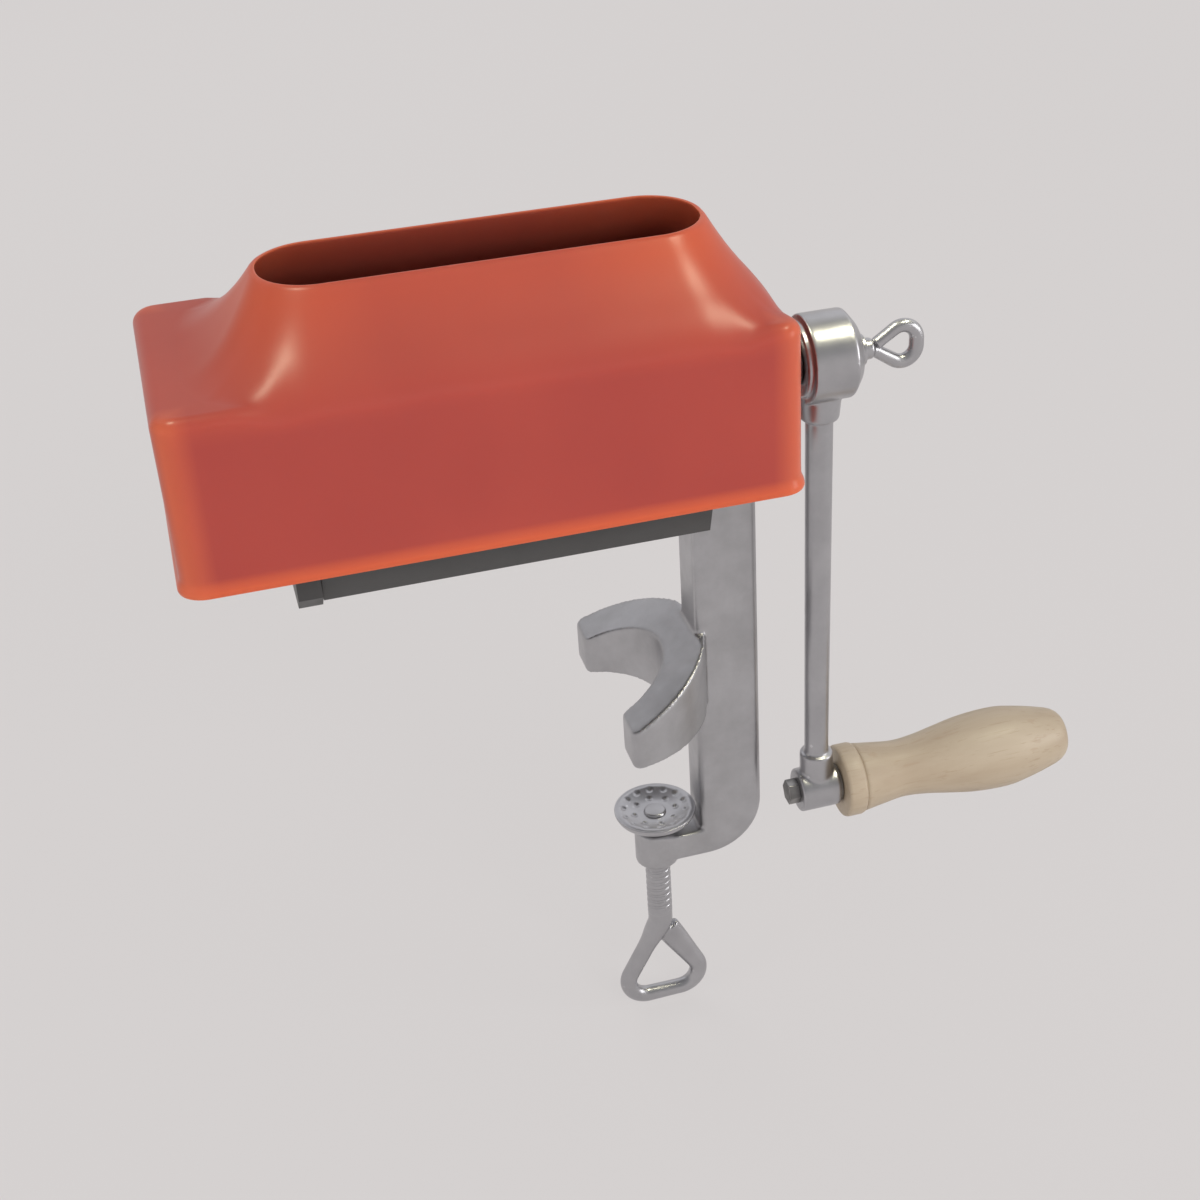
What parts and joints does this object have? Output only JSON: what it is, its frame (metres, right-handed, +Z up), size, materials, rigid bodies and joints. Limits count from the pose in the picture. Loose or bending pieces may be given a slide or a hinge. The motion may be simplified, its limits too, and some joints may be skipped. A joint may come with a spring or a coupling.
{
  "type": "hand-cranked meat tenderizer",
  "caption": "Table-clamped hand-cranked meat tenderizer: toothed blade rollers and stripping combs under a lift-off orange hopper cover, side crank with wooden handle.",
  "frame": {"origin": "on the seat of the upper jaw, which rests on the table top, in the machine's middle plane, beside the leg", "axes": "+X along the rollers towards the crank, +Y away from the person who cranks, +Z up"},
  "size_m": [0.3257, 0.1024, 0.3428],
  "materials": {
    "orange_plastic": "gloss",
    "cast_aluminium": "satin cast",
    "zinc_steel": "zinc plated",
    "blade_steel": "ground",
    "dark_steel": "blackened",
    "black_nylon": "matte",
    "bronze": "satin",
    "beech_wood": "satin"
  },
  "bodies": {
    "frame": {"frame_casting": "cast_aluminium", "left_end_plate": "black_nylon", "lower_front_tie_rod": "zinc_steel", "lower_rear_tie_rod": "zinc_steel", "upper_front_tie_rod": "zinc_steel", "upper_rear_tie_rod": "zinc_steel", "left_tie_rod_screws": "zinc_steel", "right_tie_rod_screws": "zinc_steel", "front_left_bush": "bronze", "rear_left_bush": "bronze", "front_right_bush": "bronze", "rear_right_bush": "bronze", "front_comb": "black_nylon", "rear_comb": "black_nylon"},
    "drive_roller": {"front_shaft": "zinc_steel", "front_blades": "blade_steel", "front_spacers": "black_nylon", "drive_gear": "black_nylon", "front_gear_washer": "zinc_steel", "front_gear_nut": "zinc_steel", "crank_arm": "zinc_steel", "handle_bolt": "dark_steel", "handle_washer": "dark_steel", "handle_nut": "dark_steel"},
    "driven_roller": {"rear_shaft": "zinc_steel", "rear_blades": "blade_steel", "rear_spacers": "black_nylon", "driven_gear": "black_nylon", "rear_gear_washer": "zinc_steel", "rear_gear_nut": "zinc_steel"},
    "cover": {"hopper_cover": "orange_plastic"},
    "grip": {"handle": "beech_wood"},
    "eye_washer": {"eye_screw_washer": "zinc_steel"},
    "eye_screw": {"eye_screw": "zinc_steel"},
    "pad": {"pressure_pad": "zinc_steel"},
    "clamp_screw": {"clamp_screw": "zinc_steel"}
  },
  "joints": [
    {"name": "crank_turn", "type": "hinge", "parent": "frame", "child": "drive_roller", "pos_m": [0, -0.019, 0.1395], "axis": [1, 0, 0], "continuous": true},
    {"name": "driven_roller_turn", "type": "hinge", "parent": "frame", "child": "driven_roller", "pos_m": [0, 0.019, 0.1395], "axis": [1, 0, 0], "continuous": true},
    {"name": "handle_spin", "type": "hinge", "parent": "drive_roller", "child": "grip", "pos_m": [0.1, -0.019, -0.0425], "axis": [1, 0, 0], "continuous": true},
    {"name": "cover_lift", "type": "slide", "parent": "frame", "child": "cover", "axis": [0, 0, 1], "range_m": [0, 0.1]},
    {"name": "eye_washer_slide", "type": "slide", "parent": "drive_roller", "child": "eye_washer", "axis": [1, 0, 0], "range_m": [0, 0.012]},
    {"name": "eye_screw_turn", "type": "hinge", "parent": "eye_washer", "child": "eye_screw", "pos_m": [0.07, -0.019, 0.1395], "axis": [1, 0, 0], "range_deg": [-1, 4321]},
    {"name": "pad_travel", "type": "slide", "parent": "frame", "child": "pad", "axis": [0, 0, 1], "range_m": [-0.001, 0.032]},
    {"name": "clamp_screw_turn", "type": "hinge", "parent": "pad", "child": "clamp_screw", "pos_m": [-0.0126, 0, -0.09], "axis": [0, 0, 1], "range_deg": [-121, 3841]}
  ],
  "couplings": [
    {"joint": "driven_roller_turn", "follows": "crank_turn", "ratio": -1},
    {"joint": "clamp_screw_turn", "follows": "pad_travel", "rad_per_m": 2094.4},
    {"joint": "eye_screw_turn", "follows": "eye_washer_slide", "rad_per_m": 6283.2}
  ]
}
